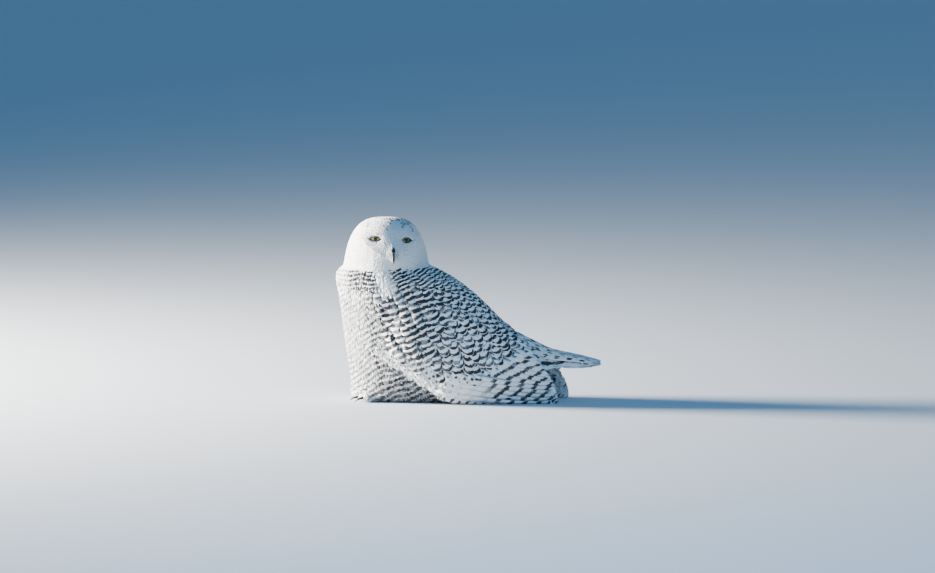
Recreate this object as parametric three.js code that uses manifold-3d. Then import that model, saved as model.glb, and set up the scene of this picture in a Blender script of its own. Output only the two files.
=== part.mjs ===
// A snowy owl crouched on flat ground, head turned over its left shoulder.
// Millimetres, +Z up. +X points to the tail and -Y to the bird's left side.
// The origin lies on the floor, under the middle of the belly.
import * as THREE from "three";
import { mergeVertices } from "three/addons/utils/BufferGeometryUtils.js";
import Module from "manifold-3d";

const wasm = await Module();
wasm.setup();

// ---------- Driving dimensions ----------

const GAP = 0.6; // clearance left between pieces that meet
const LEFT = -1; // the sign of y on each side
const RIGHT = 1;

// The trunk is a row of rings from the neck to the tail root. Each ring spans
// from a point on the back line to one on the breast line, both (x, z).
const TRUNK = {
  back: [[-58, 292], [6, 259], [50, 227], [88, 192], [119, 159], [152, 138], [186, 120], [216, 105]],
  breast: [[-204, 290], [-239, 268], [-230, 205], [-220, 130], [-208, 55], [-186, -14], [20, -14], [165, 45]],
  halfWidth: [62, 92, 100, 103, 101, 94, 71, 42],
  neckHeight: 262, // the cut between neck and trunk
  rumpStart: 118, // the cut between trunk and rump
};

// A folded wing is a bent blade from the shoulder to the tip. Its lower and
// upper edge are (x, distance from the mid plane, z).
const WING = {
  lower: [[-151, 72, 106], [-92, 90, 66], [0, 94, 4], [105, 78, -4], [176, 68, -4], [226, 58, 6]],
  upper: [[-140, 66, 232], [-60, 44, 260], [30, 24, 232], [108, 24, 166], [176, 38, 114], [222, 52, 62]],
  bulge: [4, 37, 42, 25, 12, 2],
  halfThickness: [4, 12, 12, 8, 6, 3],
  farReach: 16, // how much further back the right wing lies than the left one
  farSink: 8, // and how much lower its upper edge ends
  primariesStart: 70, // where the cut between arm and primaries crosses the floor
  primariesLean: 38, // degrees that this cut leans
};

const TAIL = {
  edge: [[122, 18, 112], [170, 43, 80], [225, 46, 74], [275, 46, 74], [310, 36, 76], [321, 12, 79]],
  arch: [0, 31, 26, 17, 7, 1],
  halfThickness: [6, 6, 5, 4, 3, 2],
};

const HEAD = {
  axis: [-134, 0], // x and y of the upright line through its middle
  base: 280, // height of its widest level, where it meets the neck
  crown: 384,
  sink: 32, // how far its underside reaches down into the neck
  halfWidth: 89,
  faceDepth: 82, // from the axis to the face
  napeDepth: 78,
  discDepth: 5, // how far the face sinks in around each eye
  bristles: 4, // how far the feathers beside the bill stand out
  turn: 14.5, // degrees from straight out to the bird's left, towards the tail
};

const EYE = {
  radius: 14.5,
  fromAxis: 50.5, // horizontal distance of its centre from the head's axis
  spread: 33.5, // degrees to each side of the face's middle
  gaze: 20, // degrees that it looks outwards
  height: 341.6,
  lean: 1.7, // how much higher the right eye is, and how much lower the left one
  opening: [12.5, 20, 4.2], // half length, half depth and half height of the gap between the lids
};

const BILL = {
  root: [76, 321], // distance from the head's axis and height
  tip: [90, 293.5],
  halfWidth: 6.5,
};

const FOOT = {
  centre: [-146, 46], // x and distance from the mid plane
  toeAngle: [-34, -2, 30, 176], // degrees from straight ahead, the hind toe last
  toeLength: [40, 46, 40, 30],
  toeRadius: 11,
  clawLength: 28,
  clawRadius: 3.6,
  legRadius: 18,
  legHeight: 54,
};

const COLOUR = {
  white: 0xf2f1ec,
  barred: 0xd4d3d0,
  bill: 0x1c1b1d,
  claw: 0x161517,
  iris: 0xd9a916,
};

// ---------- Helpers ----------

const radians = THREE.MathUtils.degToRad;
const UP = new THREE.Vector3(0, 0, 1);
const REARWARD = new THREE.Vector3(1, 0, 0);

// A Catmull-Rom spline through evenly spaced stations, each a list of numbers.
function along(stations) {
  const points = stations.map((station) => new THREE.Vector3(...[station, 0, 0].flat().slice(0, 3)));
  const curve = new THREE.CatmullRomCurve3(points, false, "catmullrom", 0.5);
  return (t) => curve.getPoint(t);
}

// Six times the signed volume of the solid that a geometry's triangles enclose.
function signedVolume(geometry) {
  const { position } = geometry.attributes;
  const corner = (i) => new THREE.Vector3().fromBufferAttribute(position, geometry.index.getX(i));
  let sum = 0;
  for (let i = 0; i < geometry.index.count; i += 3) {
    sum += corner(i).dot(corner(i + 1).cross(corner(i + 2)));
  }
  return sum;
}

// The geometry with shared vertices only, facing outwards.
function closed(geometry) {
  const bare = geometry.clone();
  bare.deleteAttribute("normal");
  bare.deleteAttribute("uv");
  const merged = mergeVertices(bare, 1e-4);
  if (signedVolume(merged) < 0) merged.index.array.reverse();
  return merged;
}

// A closed skin over place(t, angle), where t runs from 0 to 1 along the piece.
// The middles of the first and of the last ring are the skin's two poles.
function closedSkin(place, rings, sides) {
  const geometry = new THREE.SphereGeometry(1, sides, rings);
  const { position, uv } = geometry.attributes;
  for (let i = 0; i < position.count; i++) {
    const t = Math.round((1 - uv.getY(i)) * rings) / rings;
    const angle = 2 * Math.PI * uv.getX(i);
    const middle = place(t, 0.5 * Math.PI).lerp(place(t, 1.5 * Math.PI), 0.5);
    const point = t === 0 || t === 1 ? middle : place(t, angle);
    position.setXYZ(i, point.x, point.y, point.z);
  }
  return closed(geometry);
}

function solid(geometry) {
  const vertProperties = new Float32Array(geometry.attributes.position.array);
  const triVerts = new Uint32Array(geometry.index.array);
  return new wasm.Manifold(new wasm.Mesh({ numProp: 3, vertProperties, triVerts }));
}

// The solid with its skin moved outwards, for cutting what it touches.
function cutter(geometry) {
  const swollen = geometry.clone();
  swollen.computeVertexNormals();
  const { position, normal } = swollen.attributes;
  for (let i = 0; i < position.array.length; i++) {
    position.array[i] += GAP * normal.array[i];
  }
  return solid(swollen).add(solid(geometry));
}

// A large block over everything that lies beyond a plane.
function beyond(point, way) {
  const block = new THREE.BoxGeometry(1200, 1200, 1200).translate(0, 0, 600);
  block.applyQuaternion(new THREE.Quaternion().setFromUnitVectors(UP, way));
  return solid(closed(block.translate(point.x, point.y, point.z)));
}

const aboveFloor = beyond(new THREE.Vector3(), UP);

// A solid's two halves on either side of a plane, a gap apart.
function parted(piece, point, way) {
  const further = piece.intersect(beyond(point, way));
  const nearer = piece.subtract(beyond(point.clone().addScaledVector(way, -GAP), way));
  return [nearer, further];
}

const less = (piece, cutters) => cutters.reduce((rest, tool) => rest.subtract(tool), piece);

// ---------- Trunk, neck and rump ----------

function trunkSkin() {
  const back = along(TRUNK.back);
  const breast = along(TRUNK.breast);
  const halfWidth = along(TRUNK.halfWidth);
  const place = (t, angle) => {
    const across = 0.5 + 0.5 * Math.cos(angle);
    const { x, y: z } = breast(t).lerp(back(t), across);
    return new THREE.Vector3(x, halfWidth(t).x * Math.sin(angle), z);
  };
  return closedSkin(place, 20, 22);
}

// ---------- Blades: wings and tail ----------

// A blade spans two edges. It bends outwards and is thickest in its middle.
function bladeSkin(edgeA, edgeB, bulge, halfThickness, outward, rings) {
  const bend = along(bulge);
  const thick = along(halfThickness);
  const place = (t, angle) => {
    const across = Math.cos(angle);
    const lift = bend(t).x * (1 - Math.abs(across) ** 3) + thick(t).x * Math.sin(angle);
    return edgeA(t).lerp(edgeB(t), 0.5 + 0.5 * across).addScaledVector(outward(t), lift);
  };
  return closedSkin(place, rings, 12);
}

const onSide = (line, side) => along(line.map(([x, off, z]) => [x, side * off, z]));

function wingSkin(side) {
  const reach = side === RIGHT ? WING.farReach : 0;
  const sink = side === RIGHT ? WING.farSink : 0;
  const shifted = (line, fall) =>
    line.map(([x, off, z], station) => [x + (reach * station) / 5, off, z - (fall * station) / 5]);
  const lower = onSide(shifted(WING.lower, 0), side);
  const upper = onSide(shifted(WING.upper, sink), side);
  const outward = (t) => {
    const chord = upper(t).sub(lower(t));
    const ahead = lower(Math.min(t + 0.01, 1)).sub(lower(Math.max(t - 0.01, 0)));
    const normal = chord.cross(ahead).normalize();
    return normal.multiplyScalar(Math.sign(normal.y) * side);
  };
  return bladeSkin(lower, upper, WING.bulge, WING.halfThickness, outward, 18);
}

function tailSkin() {
  const left = onSide(TAIL.edge, LEFT);
  const right = onSide(TAIL.edge, RIGHT);
  return bladeSkin(left, right, TAIL.arch, TAIL.halfThickness, () => UP, 12);
}

// ---------- Head, eyes and bill ----------

const faceTurn = radians(HEAD.turn);

// From the head's own frame (sideways, forwards, height) to the model's.
function fromHead(sideways, forwards, height) {
  const [x, y] = HEAD.axis;
  const cos = Math.cos(faceTurn);
  const sin = Math.sin(faceTurn);
  return new THREE.Vector3(x + sideways * cos + forwards * sin, y + sideways * sin - forwards * cos, height);
}

// How far the face stands out at a spot: sunk around the eyes, raised by the bill.
function faceRelief(sideways, height) {
  const bump = (dx, dz, width, tall) => Math.exp(-((dx / width) ** 2) - (dz / tall) ** 2);
  const eyeOff = EYE.fromAxis * 1.4 * Math.sin(radians(EYE.spread));
  const dish = bump(Math.abs(sideways) - eyeOff, height - EYE.height, 20, 18);
  const ridge = bump(sideways, height - BILL.root[1] + 8, 13, 24);
  return HEAD.bristles * ridge - HEAD.discDepth * dish;
}

// A bell with a flattened top over a shallow bowl that sinks into the neck.
function headSkin() {
  const rim = 0.8; // where the bell's rings end and the bowl's begin
  const place = (t, angle) => {
    const isBell = t < rim;
    const level = isBell ? Math.cos((0.5 * Math.PI * t) / rim) : Math.sin((0.5 * Math.PI * (t - rim)) / (1 - rim));
    const width = isBell ? Math.cbrt(1 - level ** 2) - 0.1 * level * (1 - level) : Math.sqrt(1 - level ** 2);
    const height = HEAD.base + (isBell ? HEAD.crown - HEAD.base : -HEAD.sink) * level;
    const sideways = HEAD.halfWidth * width * Math.sin(angle);
    const facing = Math.cos(angle);
    const depth = facing > 0 ? HEAD.faceDepth + faceRelief(sideways, height) * facing : HEAD.napeDepth;
    return fromHead(sideways, depth * width * facing, height);
  };
  return closedSkin(place, 20, 26);
}

// A ball at an eye, stretched to (sideways, forwards, height) and moved
// forwards from the eye's centre along its gaze. The face looks along -Y, so
// the bird's own left is on the sideways axis's positive half.
function atEye(side, [sideways, forwards, height], ahead) {
  const spread = radians(-side * EYE.spread);
  const ball = new THREE.SphereGeometry(1, 12, 8).rotateX(Math.PI / 2);
  ball.scale(sideways, forwards, height).translate(0, -ahead, 0);
  ball.rotateZ(faceTurn - radians(side * EYE.gaze));
  const level = EYE.height + side * EYE.lean;
  const centre = fromHead(EYE.fromAxis * Math.sin(spread), EYE.fromAxis * Math.cos(spread), level);
  return closed(ball.translate(centre.x, centre.y, centre.z));
}

const eyeSkin = (side) => atEye(side, [EYE.radius, EYE.radius, EYE.radius], 0);

// Each half of the bill is a horn that leaves the face forwards and hooks down.
function billSkin(root, tip, halfWidth) {
  const place = (t, angle) => {
    const swing = 0.5 * Math.PI * t;
    const radius = halfWidth * (1 - 0.85 * t);
    const forwards = root[0] + (tip[0] - root[0]) * Math.sin(swing) + radius * Math.cos(angle) * Math.sin(swing);
    const height = root[1] + (tip[1] - root[1]) * (1 - Math.cos(swing)) + radius * Math.cos(angle) * Math.cos(swing);
    return fromHead(radius * Math.sin(angle), forwards, height);
  };
  return closedSkin(place, 8, 8);
}

// ---------- Legs, feet and claws ----------

// A rod with rounded ends between two points.
function rodSkin(from, to, radiusA, radiusB) {
  const ahead = to.clone().sub(from).normalize();
  const beside = new THREE.Vector3(ahead.z, 0, -ahead.x).normalize();
  const above = new THREE.Vector3().crossVectors(ahead, beside);
  const place = (t, angle) => {
    const radius = THREE.MathUtils.lerp(radiusA, radiusB, t) * Math.sqrt(1 - (2 * t - 1) ** 6);
    return from.clone().lerp(to, t)
      .addScaledVector(beside, radius * Math.cos(angle))
      .addScaledVector(above, radius * Math.sin(angle));
  };
  return closedSkin(place, 5, 8);
}

function toe(side, number) {
  const angle = radians(FOOT.toeAngle[number]);
  const ahead = new THREE.Vector3(-Math.cos(angle), side * Math.sin(angle), 0);
  const root = new THREE.Vector3(FOOT.centre[0], side * FOOT.centre[1], FOOT.toeRadius * 0.8);
  const tip = root.clone().addScaledVector(ahead, FOOT.toeLength[number]);
  return { ahead, root, tip };
}

function toeSkin(side, number) {
  const { root, tip } = toe(side, number);
  return rodSkin(root, tip, FOOT.toeRadius * 1.15, FOOT.toeRadius * 0.85);
}

// A claw leaves the toe's end and bends down to the floor as it narrows.
function clawSkin(side, number) {
  const { ahead, tip } = toe(side, number);
  const beside = new THREE.Vector3().crossVectors(UP, ahead);
  const bend = radians(62);
  const bow = FOOT.clawLength / bend;
  const place = (t, angle) => {
    const radius = FOOT.clawRadius * (1 - 0.85 * t);
    return tip.clone()
      .addScaledVector(ahead, -6 + bow * Math.sin(bend * t))
      .addScaledVector(beside, radius * Math.cos(angle))
      .addScaledVector(UP, 1 - 0.6 * bow * (1 - Math.cos(bend * t)) + radius * Math.sin(angle));
  };
  return closedSkin(place, 6, 6);
}

function legSkin(side) {
  const [x, off] = FOOT.centre;
  const ankle = new THREE.Vector3(x, side * off, 4);
  const knee = new THREE.Vector3(x + 26, side * off * 0.9, FOOT.legHeight);
  return rodSkin(ankle, knee, FOOT.legRadius * 0.75, FOOT.legRadius);
}

// ---------- Assembly: the whole bird, parted by thin cuts ----------

const owl = new THREE.Group();

// Adds the largest body of a solid, since a cut can leave slivers behind.
function addPiece(name, piece, colour, roughness = 0.85) {
  const bodies = piece.decompose();
  const body = bodies.reduce((best, other) => (other.volume() > best.volume() ? other : best));
  const { vertProperties, triVerts } = body.getMesh();
  const geometry = new THREE.BufferGeometry();
  geometry.setAttribute("position", new THREE.BufferAttribute(vertProperties, 3));
  geometry.setIndex(new THREE.BufferAttribute(triVerts, 1));
  geometry.computeVertexNormals();
  const material = new THREE.MeshStandardMaterial({ color: colour, roughness, metalness: 0 });
  const mesh = new THREE.Mesh(geometry, material);
  mesh.name = name;
  owl.add(mesh);
}

const SIDES = [["left", LEFT], ["right", RIGHT]];

const upperBill = billSkin(BILL.root, BILL.tip, BILL.halfWidth);
const lowerRoot = [BILL.root[0] - 4, BILL.root[1] - 16];
const lowerTip = [BILL.tip[0] - 4.5, BILL.tip[1] + 3];
const lowerBill = billSkin(lowerRoot, lowerTip, BILL.halfWidth * 0.75);
addPiece("bill_upper", solid(upperBill), COLOUR.bill, 0.35);
addPiece("bill_lower", solid(lowerBill).subtract(cutter(upperBill)), COLOUR.bill, 0.35);

const faceCutters = [cutter(upperBill), cutter(lowerBill)];
for (const [name, side] of SIDES) {
  addPiece("eye_" + name, solid(eyeSkin(side)), COLOUR.iris, 0.1);
  faceCutters.push(cutter(eyeSkin(side)), solid(atEye(side, EYE.opening, EYE.radius)));
}
addPiece("head", less(solid(headSkin()), faceCutters), COLOUR.white);

const legCutters = [];
for (const [name, side] of SIDES) {
  const numbers = [...FOOT.toeAngle.keys()];
  const claws = numbers.map((number) => clawSkin(side, number));
  const toes = numbers.map((number) => toeSkin(side, number));
  const leg = legSkin(side);
  claws.forEach((claw, number) => {
    addPiece(`claw_${name}_${number + 1}`, solid(claw).intersect(aboveFloor), COLOUR.claw, 0.4);
  });
  const foot = toes.map(solid).reduce((joined, next) => joined.add(next)).intersect(aboveFloor);
  addPiece("foot_" + name, less(foot, claws.map(cutter)), COLOUR.white);
  addPiece("leg_" + name, less(solid(leg).intersect(aboveFloor), toes.map(cutter)), COLOUR.white);
  legCutters.push(...claws.map(cutter), ...toes.map(cutter), cutter(leg));
}

const tail = tailSkin();
addPiece("tail", solid(tail), COLOUR.barred);

const trunk = trunkSkin();
const bodyCutters = [cutter(headSkin()), cutter(tail), ...legCutters];
const body = less(solid(trunk).intersect(aboveFloor), bodyCutters);
const [belowNeck, neck] = parted(body, new THREE.Vector3(0, 0, TRUNK.neckHeight), UP);
const [front, rump] = parted(belowNeck, new THREE.Vector3(TRUNK.rumpStart, 0, 0), REARWARD);
addPiece("neck", neck, COLOUR.barred);
addPiece("trunk", front, COLOUR.white);
addPiece("rump", rump, COLOUR.barred);

const lean = radians(WING.primariesLean);
const wristward = new THREE.Vector3(Math.cos(lean), 0, -Math.sin(lean));
for (const [name, side] of SIDES) {
  const wingCutters = [cutter(trunk), cutter(tail), cutter(headSkin())];
  const wing = less(solid(wingSkin(side)).intersect(aboveFloor), wingCutters);
  const [arm, hand] = parted(wing, new THREE.Vector3(WING.primariesStart, 0, 0), wristward);
  addPiece("wing_" + name, arm, COLOUR.barred);
  addPiece("primaries_" + name, hand, COLOUR.barred);
}

export default owl;
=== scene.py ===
# %% [markdown]
# # Snowy owl crouched on level ground
#
# A snowy owl rests on its belly with folded wings and looks over its left side.
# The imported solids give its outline. This script dresses them: one skin inside
# the solids, the plumage as thin closed vanes that lie along the body, and the
# bare parts (eyes, lids, bill, claws). All is in metres, +X to the tail, -Y to
# the bird's left, +Z up.

import bpy
import numpy as np
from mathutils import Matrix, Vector
from mathutils.bvhtree import BVHTree


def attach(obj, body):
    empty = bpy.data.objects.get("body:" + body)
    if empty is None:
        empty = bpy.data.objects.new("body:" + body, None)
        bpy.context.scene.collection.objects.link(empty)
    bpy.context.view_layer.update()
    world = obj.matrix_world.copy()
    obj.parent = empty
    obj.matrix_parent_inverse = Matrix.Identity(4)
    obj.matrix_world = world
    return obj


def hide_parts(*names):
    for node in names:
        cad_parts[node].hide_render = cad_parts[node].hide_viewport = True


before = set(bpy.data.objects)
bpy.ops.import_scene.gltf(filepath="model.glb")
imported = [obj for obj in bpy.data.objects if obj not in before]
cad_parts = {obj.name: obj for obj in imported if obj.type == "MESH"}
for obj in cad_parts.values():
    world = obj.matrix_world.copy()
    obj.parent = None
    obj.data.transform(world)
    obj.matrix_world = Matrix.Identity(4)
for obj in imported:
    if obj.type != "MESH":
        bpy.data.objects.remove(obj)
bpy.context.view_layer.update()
rng = np.random.default_rng(20)
MM = 0.001
UP = np.array([0.0, 0.0, 1.0])
print("packed nodes:", len(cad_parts))

# %% [markdown]
# ## Numbers shared with the solids
#
# The coat follows the shapes that the solids were lofted from: body feathers run
# along the trunk's rings from neck to tail, and flight feathers along the wing.
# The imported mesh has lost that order, so the same stations are named here.

# %% Stations of trunk, wing, tail and head
TRUNK_BACK = MM * np.array(
    [[-58, 292], [6, 259], [50, 227], [88, 192], [119, 159], [152, 138], [186, 120], [216, 105]]
)
TRUNK_BREAST = MM * np.array(
    [[-204, 290], [-239, 268], [-230, 205], [-220, 130],
     [-208, 55], [-186, -14], [20, -14], [165, 45]]
)
TRUNK_HALF_WIDTH = MM * np.array([[62], [92], [100], [103], [101], [94], [71], [42]])

TAIL_EDGE = MM * np.array(
    [[122, 18, 112], [170, 43, 80], [225, 46, 74], [275, 46, 74], [310, 36, 76], [321, 12, 79]]
)
TAIL_ARCH = MM * np.array([[0], [31], [26], [17], [7], [1]])

HEAD_AXIS = MM * np.array([-134, 0])
HEAD_BASE, HEAD_CROWN = 280 * MM, 384 * MM
HEAD_HALF_WIDTH, FACE_DEPTH, NAPE_DEPTH = 89 * MM, 82 * MM, 78 * MM
FACE_TURN = np.radians(14.5)

EYE_RADIUS, EYE_FROM_AXIS, EYE_HEIGHT, EYE_LEAN = 14.5 * MM, 50.5 * MM, 341.6 * MM, 1.7 * MM
EYE_SPREAD, EYE_GAZE = np.radians(33.5), np.radians(20)

BILL_ROOT, BILL_TIP = MM * np.array([[76, 321], [90, 293.5]])
BILL_HALF_WIDTH = 6.5 * MM

FOOT_CENTRE, TOE_RADIUS = MM * np.array([-146, 46]), 11 * MM
TOE_ANGLES = np.radians([-34, -2, 30, 176])
TOE_LENGTHS = MM * np.array([40, 46, 40, 30])
CLAW_LENGTH, CLAW_RADIUS, CLAW_BEND = 28 * MM, 3.6 * MM, np.radians(62)

SIDES = {"left": -1, "right": 1}
COLLAR_FOOT, COLLAR_SPACING = 238 * MM, 8.8 * MM
HEAD_FOOT = 284 * MM
THROAT_X = -128 * MM

# %% [markdown]
# ## Small tools
#
# Every surface below is a function from whole arrays of parameters to arrays of
# points. Splines are the same Catmull-Rom curves that shaped the solids.


# %% Array tools
def unit(vectors):
    """Vectors divided by their length."""
    return vectors / np.maximum(np.linalg.norm(vectors, axis=-1, keepdims=True), 1e-12)


def fade(low, high, x):
    """0 below low, 1 above high, with a smooth S-shaped rise between them."""
    s = np.clip((x - low) / (high - low), 0.0, 1.0)
    return s * s * (3.0 - 2.0 * s)


def spline(stations, t):
    """Catmull-Rom curve through evenly spaced stations; t is 0 at the first and 1 at the last.

    Beyond each end stands the mirror image of the second station in the first."""
    ends = np.vstack([2 * stations[0] - stations[1], stations, 2 * stations[-1] - stations[-2]])
    s = np.clip(t, 0.0, 1.0) * (len(stations) - 1)
    i = np.minimum(s.astype(int), len(stations) - 2)
    w = (s - i)[..., None]
    a, b, c, d = ends[i], ends[i + 1], ends[i + 2], ends[i + 3]
    return b + 0.5 * w * (c - a + w * (2 * a - 5 * b + 4 * c - d + w * (3 * (b - c) + d - a)))


def polyline(stations, x):
    """Height at x of straight lines through stations (x, height) given in millimetres."""
    return np.interp(x, *(MM * np.array(stations)).T)


def crowded(rows, power):
    """Shares from 0 to 1, closer together towards 1: 1 - (1 - even shares) ** power."""
    return 1.0 - (1.0 - np.linspace(0.0, 1.0, rows)) ** power


def around(sides):
    """Angles evenly spaced round a circle."""
    return np.linspace(0, 2 * np.pi, sides, endpoint=False)


def on_plane(vectors, normals):
    """Unit vectors in the plane across the normals, nearest to the given ones."""
    return unit(vectors - normals * (vectors * normals).sum(-1, keepdims=True))


def turned(headings, normals, angles):
    """Headings turned about their normals: h cos a + (n x h) sin a."""
    angles = angles[:, None]
    return headings * np.cos(angles) + np.cross(normals, headings) * np.sin(angles)


def tailward(down):
    """Unit vectors towards the tail that dip by an angle."""
    return np.stack([np.cos(down), 0 * down, -np.sin(down)], -1)


def read_rows(elements, attribute, width, kind=np.float32):
    """One row of numbers for each vertex, corner or other element of a mesh."""
    values = np.empty(width * len(elements), dtype=kind)
    elements.foreach_get(attribute, values)
    return values.reshape(-1, width)


def flat(values):
    """All the numbers of an array in one row, as meshes take them."""
    return np.ascontiguousarray(values, dtype=np.float32).ravel()


def mesh_object(name, points, faces, material, slot):
    """One object of the bird from points (n, 3) and faces (m, corners), smooth shaded."""
    mesh = bpy.data.meshes.new(name)
    mesh.vertices.add(len(points))
    mesh.vertices.foreach_set("co", flat(points))
    mesh.loops.add(faces.size)
    mesh.loops.foreach_set("vertex_index", faces.ravel().astype(np.int32))
    mesh.polygons.add(len(faces))
    starts = np.arange(0, faces.size, faces.shape[1], dtype=np.int32)
    mesh.polygons.foreach_set("loop_start", starts)
    mesh.update(calc_edges=True)
    mesh.polygons.foreach_set("use_smooth", np.ones(len(faces), dtype=bool))
    mesh.materials.append(material)
    made = bpy.data.objects.new(name, mesh)
    bpy.context.scene.collection.objects.link(made)
    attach(made, "root")
    return made


def point_values(made, name, values):
    """Stores one vector per vertex for the materials to read."""
    layer = made.data.attributes.new(name, "FLOAT_VECTOR", "POINT")
    layer.data.foreach_set("vector", flat(values))


def on_both_sides(build, name):
    """Builds a piece on the left and then on the right side."""
    for side_name, side in SIDES.items():
        build(f"{name}_{side_name}", side)


# %% [markdown]
# ## Materials
#
# A snowy owl's feathers are white, and an adult female's carry slate-brown bars.
# The bars could be painted over the whole body, but on the bird each belongs to
# a feather. So every vertex knows where it lies on its vane, and every vane its
# bars' spacing, phase, bend and darkness. Bars are counted back from the tip,
# which leaves the last one its white fringe.


# %% Node helpers and the plumage material
def node(tree, kind, *inputs, **settings):
    """A shader node; inputs are sockets or constants in order, None leaves one alone."""
    made = tree.nodes.new("ShaderNode" + kind)
    for key, value in settings.items():
        setattr(made, key, value)
    for socket, value in zip(made.inputs, inputs):
        if isinstance(value, bpy.types.NodeSocket):
            tree.links.new(value, socket)
        elif value is not None:
            socket.default_value = value
    return made


def maths_in(tree):
    """A function that adds a Math node to the tree and gives its output."""
    def maths(operation, *values):
        return node(tree, "Math", *values, operation=operation).outputs[0]
    return maths


def read(tree, name):
    """The three numbers that the vertices store under a name."""
    vector = node(tree, "Attribute", attribute_name=name).outputs["Vector"]
    return node(tree, "SeparateXYZ", vector).outputs


def principled(name, colour, roughness, **extras):
    """A new material with its Principled shader; colour is a constant."""
    material = bpy.data.materials.new(name)
    material.use_nodes = True
    shader = material.node_tree.nodes["Principled BSDF"]
    shader.inputs["Base Color"].default_value = (*colour, 1.0)
    shader.inputs["Roughness"].default_value = roughness
    for key, value in extras.items():
        shader.inputs[key].default_value = value
    return material, material.node_tree, shader


WHITE = (0.86, 0.86, 0.85, 1.0)
SLATE = (0.02, 0.018, 0.022, 1.0)


def plumage_material():
    """White feathers with bars or spots.

    A bar is dark where (distance from the tip) / spacing + phase + bend * across ** 4
    + slant * across has a fraction near one half. It ends at a half width from its
    centre across the vane, and bars fade out beyond their reach from the tip."""
    material, tree, shader = principled("plumage", WHITE[:3], 0.9, **{"Specular IOR Level": 0.12})
    maths = maths_in(tree)
    across, along, length = read(tree, "vane")
    spacing, phase, bend = read(tree, "mark")
    strength, share, slant = read(tree, "ink")
    half_width, centre, reach = read(tree, "spot")
    coords = node(tree, "TexCoord").outputs["Object"]
    ragged = node(tree, "TexNoise", coords, None, 220.0, 2.0).outputs["Fac"]
    patchy = node(tree, "TexNoise", coords, None, 60.0, 2.0).outputs["Fac"]

    def step(value, low, high, start=0.0, end=1.0):
        """A smooth step from start to end while the value goes from low to high."""
        smooth = dict(interpolation_type="SMOOTHSTEP")
        return node(tree, "MapRange", value, low, high, start, end, **smooth).outputs[0]

    from_tip = maths("MULTIPLY", maths("SUBTRACT", 1.0, along), length)
    place = maths("ADD", maths("DIVIDE", from_tip, spacing), phase)
    place = maths("MULTIPLY_ADD", maths("POWER", across, 4.0), bend, place)
    place = maths("MULTIPLY_ADD", across, slant, place)
    place = maths("MULTIPLY_ADD", maths("SUBTRACT", ragged, 0.5), 0.4, place)
    wave = maths("PINGPONG", maths("MULTIPLY", place, 2.0), 1.0)
    limit = maths("SUBTRACT", 1.0, share)
    bar = step(wave, maths("SUBTRACT", limit, 0.13), maths("ADD", limit, 0.13))
    off_centre = maths("ABSOLUTE", maths("SUBTRACT", across, centre))
    inside = step(off_centre, half_width, maths("ADD", half_width, 0.22), 1.0, 0.0)
    near_tip = step(from_tip, reach, maths("MULTIPLY", reach, 1.3), 1.0, 0.18)
    worn = step(patchy, 0.32, 0.5, 0.72, 1.0)
    dark = bar
    for factor in (inside, near_tip, strength, worn):
        dark = maths("MULTIPLY", dark, factor)
    dark = node(tree, "Clamp", dark, 0.0, 0.98).outputs[0]
    colour = node(tree, "Mix", data_type="RGBA")
    tree.links.new(dark, colour.inputs["Factor"])
    colour.inputs[6].default_value = WHITE
    colour.inputs[7].default_value = SLATE
    tree.links.new(colour.outputs[2], shader.inputs["Base Color"])

    barbs = maths("MULTIPLY", from_tip, 1500.0)
    barbs = maths("MULTIPLY_ADD", maths("ABSOLUTE", across), -6.0, barbs)
    bump = node(tree, "Bump", 0.15, 0.0004)
    tree.links.new(maths("SINE", barbs), bump.inputs["Height"])
    tree.links.new(bump.outputs[0], shader.inputs["Normal"])
    return material


plumage = plumage_material()
print("materials ready")

# %% [markdown]
# ## The skin
#
# The solids are parted by thin cuts. Copies of the flesh ones are joined,
# swollen until they overlap and remeshed as one body, so that no seam shows.
# The feathers are settled on that body. At the end it sinks to become the skin.

# %% One body from the flesh solids
FLESH = ["head", "neck", "trunk", "rump", "tail"]
FLESH += [f"{part}_{side}" for part in ("wing", "primaries", "leg", "foot") for side in SIDES]


def flesh_arrays(nodes):
    """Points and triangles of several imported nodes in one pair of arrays."""
    points, faces, count = [], [], 0
    for name in nodes:
        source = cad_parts[name].data
        corners = read_rows(source.loops, "vertex_index", 1, np.int32)
        points.append(read_rows(source.vertices, "co", 3))
        faces.append(corners.reshape(-1, 3) + count)
        count += len(source.vertices)
    return np.vstack(points), np.vstack(faces)


def fuse(made, voxel, smoothing):
    """Welds, swells, remeshes and smooths the mesh of an object."""
    weld = made.modifiers.new("weld", "WELD")
    weld.merge_threshold = 0.02 * MM
    swell = made.modifiers.new("swell", "DISPLACE")
    swell.strength = 0.6 * MM
    swell.mid_level = 0.0
    remesh = made.modifiers.new("remesh", "REMESH")
    remesh.mode = "VOXEL"
    remesh.voxel_size = voxel
    smooth = made.modifiers.new("smooth", "SMOOTH")
    smooth.factor = 0.5
    smooth.iterations = smoothing
    graph = bpy.context.evaluated_depsgraph_get()
    mesh = bpy.data.meshes.new_from_object(made.evaluated_get(graph))
    made.modifiers.clear()
    made.data = mesh


skin = mesh_object("skin", *flesh_arrays(FLESH), plumage, "white_plumage")
fuse(skin, 2.7 * MM, 8)
body_points = read_rows(skin.data.vertices, "co", 3).astype(float)
body_normals = read_rows(skin.data.vertex_normals, "vector", 3).astype(float)
body_faces = read_rows(skin.data.loops, "vertex_index", 1, np.int32).reshape(-1, 4)
face_normals = unit(body_normals[body_faces].sum(1))
surface = BVHTree.FromPolygons(body_points.tolist(), body_faces.tolist())
print("body surface:", len(body_points), "points")


def nearest(points):
    """The nearest places on the body surface and the smooth normals there."""
    found = [surface.find_nearest(p) for p in points.reshape(-1, 3).tolist()]
    place = np.array([f[0] for f in found]).reshape(points.shape)
    normal = face_normals[[f[2] for f in found]].reshape(points.shape)
    return place, normal


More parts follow.
